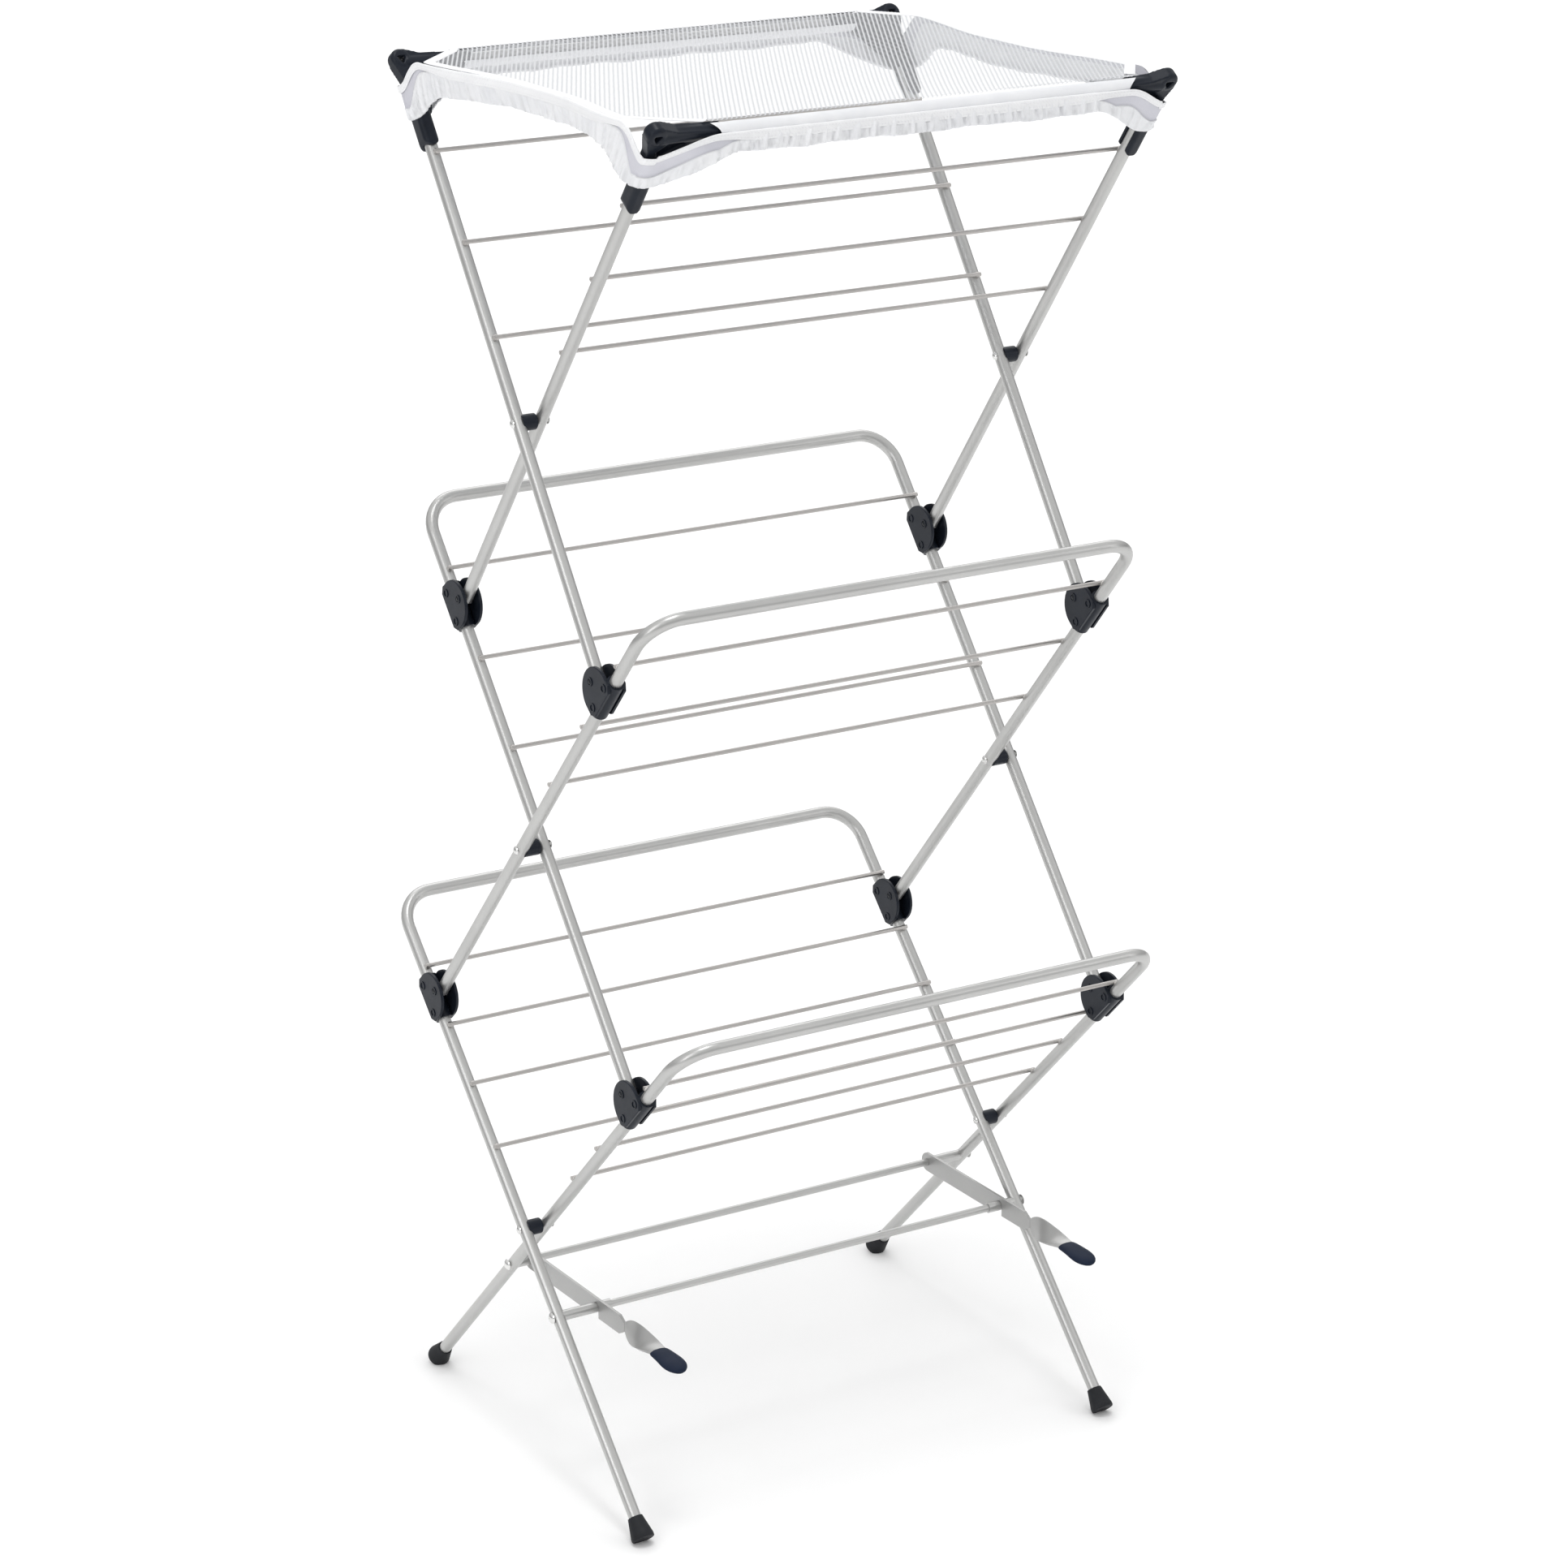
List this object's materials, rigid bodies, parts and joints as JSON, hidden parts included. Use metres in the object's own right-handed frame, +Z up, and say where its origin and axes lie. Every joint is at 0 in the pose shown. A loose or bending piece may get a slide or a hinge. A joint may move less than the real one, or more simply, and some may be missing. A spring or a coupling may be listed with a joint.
{
  "type": "folding clothes drying rack",
  "caption": "Folding tower drying rack: crossed silver tube frames with rods, looped shelves, two lock levers and a mesh top.",
  "frame": {"origin": "on the floor, under the middle of the rack", "axes": "+X along the hanging rods, -Y towards the front, where the lock levers' grips are, +Z up"},
  "size_m": [0.627, 0.5542, 1.4399],
  "materials": {
    "silver_tube": "satin silver paint on steel tube",
    "silver_rod": "satin silver paint on steel rod",
    "rivet_steel": "bright plated steel",
    "lever_steel": "satin grey paint on stamped steel",
    "grip_plastic": "dark navy dipped plastic",
    "black_plastic": "fine satin black moulded plastic",
    "foot_rubber": "matt black rubber",
    "cover_fabric": "white woven nylon with a gathered elastic hem",
    "cover_net": "white knitted net"
  },
  "bodies": {
    "lower_back_loop": {"lower_back_loop_frame": "silver_tube", "lower_back_rods": "silver_rod", "lower_pivot_rivets": "rivet_steel", "lower_pivot_spacers": "black_plastic", "lower_back_hub_left": "black_plastic", "lower_back_hub_right": "black_plastic", "lower_back_hub_pins": "rivet_steel", "front_crossbar": "silver_tube", "front_crossbar_caps": "rivet_steel", "front_crossbar_sleeve_left": "silver_tube", "front_crossbar_sleeve_right": "silver_tube", "front_foot_left": "foot_rubber", "front_foot_right": "foot_rubber"},
    "lower_front_loop": {"lower_front_loop_frame": "silver_tube", "lower_front_rods": "silver_rod", "lower_front_hub_left": "black_plastic", "lower_front_hub_right": "black_plastic", "lower_front_hub_pins": "rivet_steel", "back_crossbar": "silver_tube", "back_crossbar_caps": "rivet_steel", "back_crossbar_sleeve_left": "silver_tube", "back_crossbar_sleeve_right": "silver_tube", "back_foot_left": "foot_rubber", "back_foot_right": "foot_rubber"},
    "middle_front_loop": {"middle_front_loop_frame": "silver_tube", "middle_front_rods": "silver_rod", "middle_pivot_rivets": "rivet_steel", "middle_pivot_spacers": "black_plastic", "middle_front_hub_left": "black_plastic", "middle_front_hub_right": "black_plastic", "middle_front_hub_pins": "rivet_steel"},
    "middle_back_loop": {"middle_back_loop_frame": "silver_tube", "middle_back_rods": "silver_rod", "middle_back_hub_left": "black_plastic", "middle_back_hub_right": "black_plastic", "middle_back_hub_pins": "rivet_steel"},
    "upper_back": {"upper_back_leg_left": "silver_tube", "upper_back_leg_right": "silver_tube", "upper_back_rods": "silver_rod", "upper_pivot_rivets": "rivet_steel", "upper_pivot_spacers": "black_plastic", "back_corner_fitting_left": "black_plastic", "back_corner_fitting_right": "black_plastic", "back_top_bar": "silver_tube", "cover_back_edge": "cover_fabric", "cover_mesh_panel": "cover_net"},
    "upper_front": {"upper_front_leg_left": "silver_tube", "upper_front_leg_right": "silver_tube", "upper_front_rods": "silver_rod", "front_corner_fitting_left": "black_plastic", "front_corner_fitting_right": "black_plastic", "front_top_bar": "silver_tube", "cover_front_edge": "cover_fabric"},
    "left_lever": {"lock_lever_left": "lever_steel", "lever_grip_left": "grip_plastic"},
    "right_lever": {"lock_lever_right": "lever_steel", "lever_grip_right": "grip_plastic"}
  },
  "joints": [
    {"name": "fold", "type": "hinge", "parent": "lower_back_loop", "child": "lower_front_loop", "pos_m": [0, 0, 0.2545], "axis": [-1, 0, 0], "range_deg": [0, 55]},
    {"name": "lower_back_hubs", "type": "hinge", "parent": "lower_back_loop", "child": "middle_front_loop", "pos_m": [0, 0.17157, 0.46168], "axis": [-1, 0, 0], "range_deg": [0, 55]},
    {"name": "middle_cross", "type": "hinge", "parent": "middle_front_loop", "child": "middle_back_loop", "pos_m": [0, 0, 0.66886], "axis": [-1, 0, 0], "range_deg": [-55, 0]},
    {"name": "middle_front_hubs", "type": "hinge", "parent": "middle_front_loop", "child": "upper_back", "pos_m": [0, -0.15529, 0.88851], "axis": [-1, 0, 0], "range_deg": [-55, 0]},
    {"name": "upper_cross", "type": "hinge", "parent": "upper_back", "child": "upper_front", "pos_m": [0, 0, 1.10817], "axis": [-1, 0, 0], "range_deg": [0, 55], "deforming": ["cover_mesh_panel"]},
    {"name": "left_lever_lift", "type": "hinge", "parent": "lower_front_loop", "child": "left_lever", "pos_m": [-0.252, 0.06912, 0.18293], "axis": [-1, 0, 0], "range_deg": [0, 40]},
    {"name": "right_lever_lift", "type": "hinge", "parent": "lower_front_loop", "child": "right_lever", "pos_m": [0.252, 0.06912, 0.18293], "axis": [-1, 0, 0], "range_deg": [0, 40]}
  ],
  "couplings": [
    {"joint": "lower_back_hubs", "follows": "fold", "ratio": 1},
    {"joint": "middle_cross", "follows": "fold", "ratio": -1},
    {"joint": "middle_front_hubs", "follows": "fold", "ratio": -1},
    {"joint": "upper_cross", "follows": "fold", "ratio": 1}
  ]
}
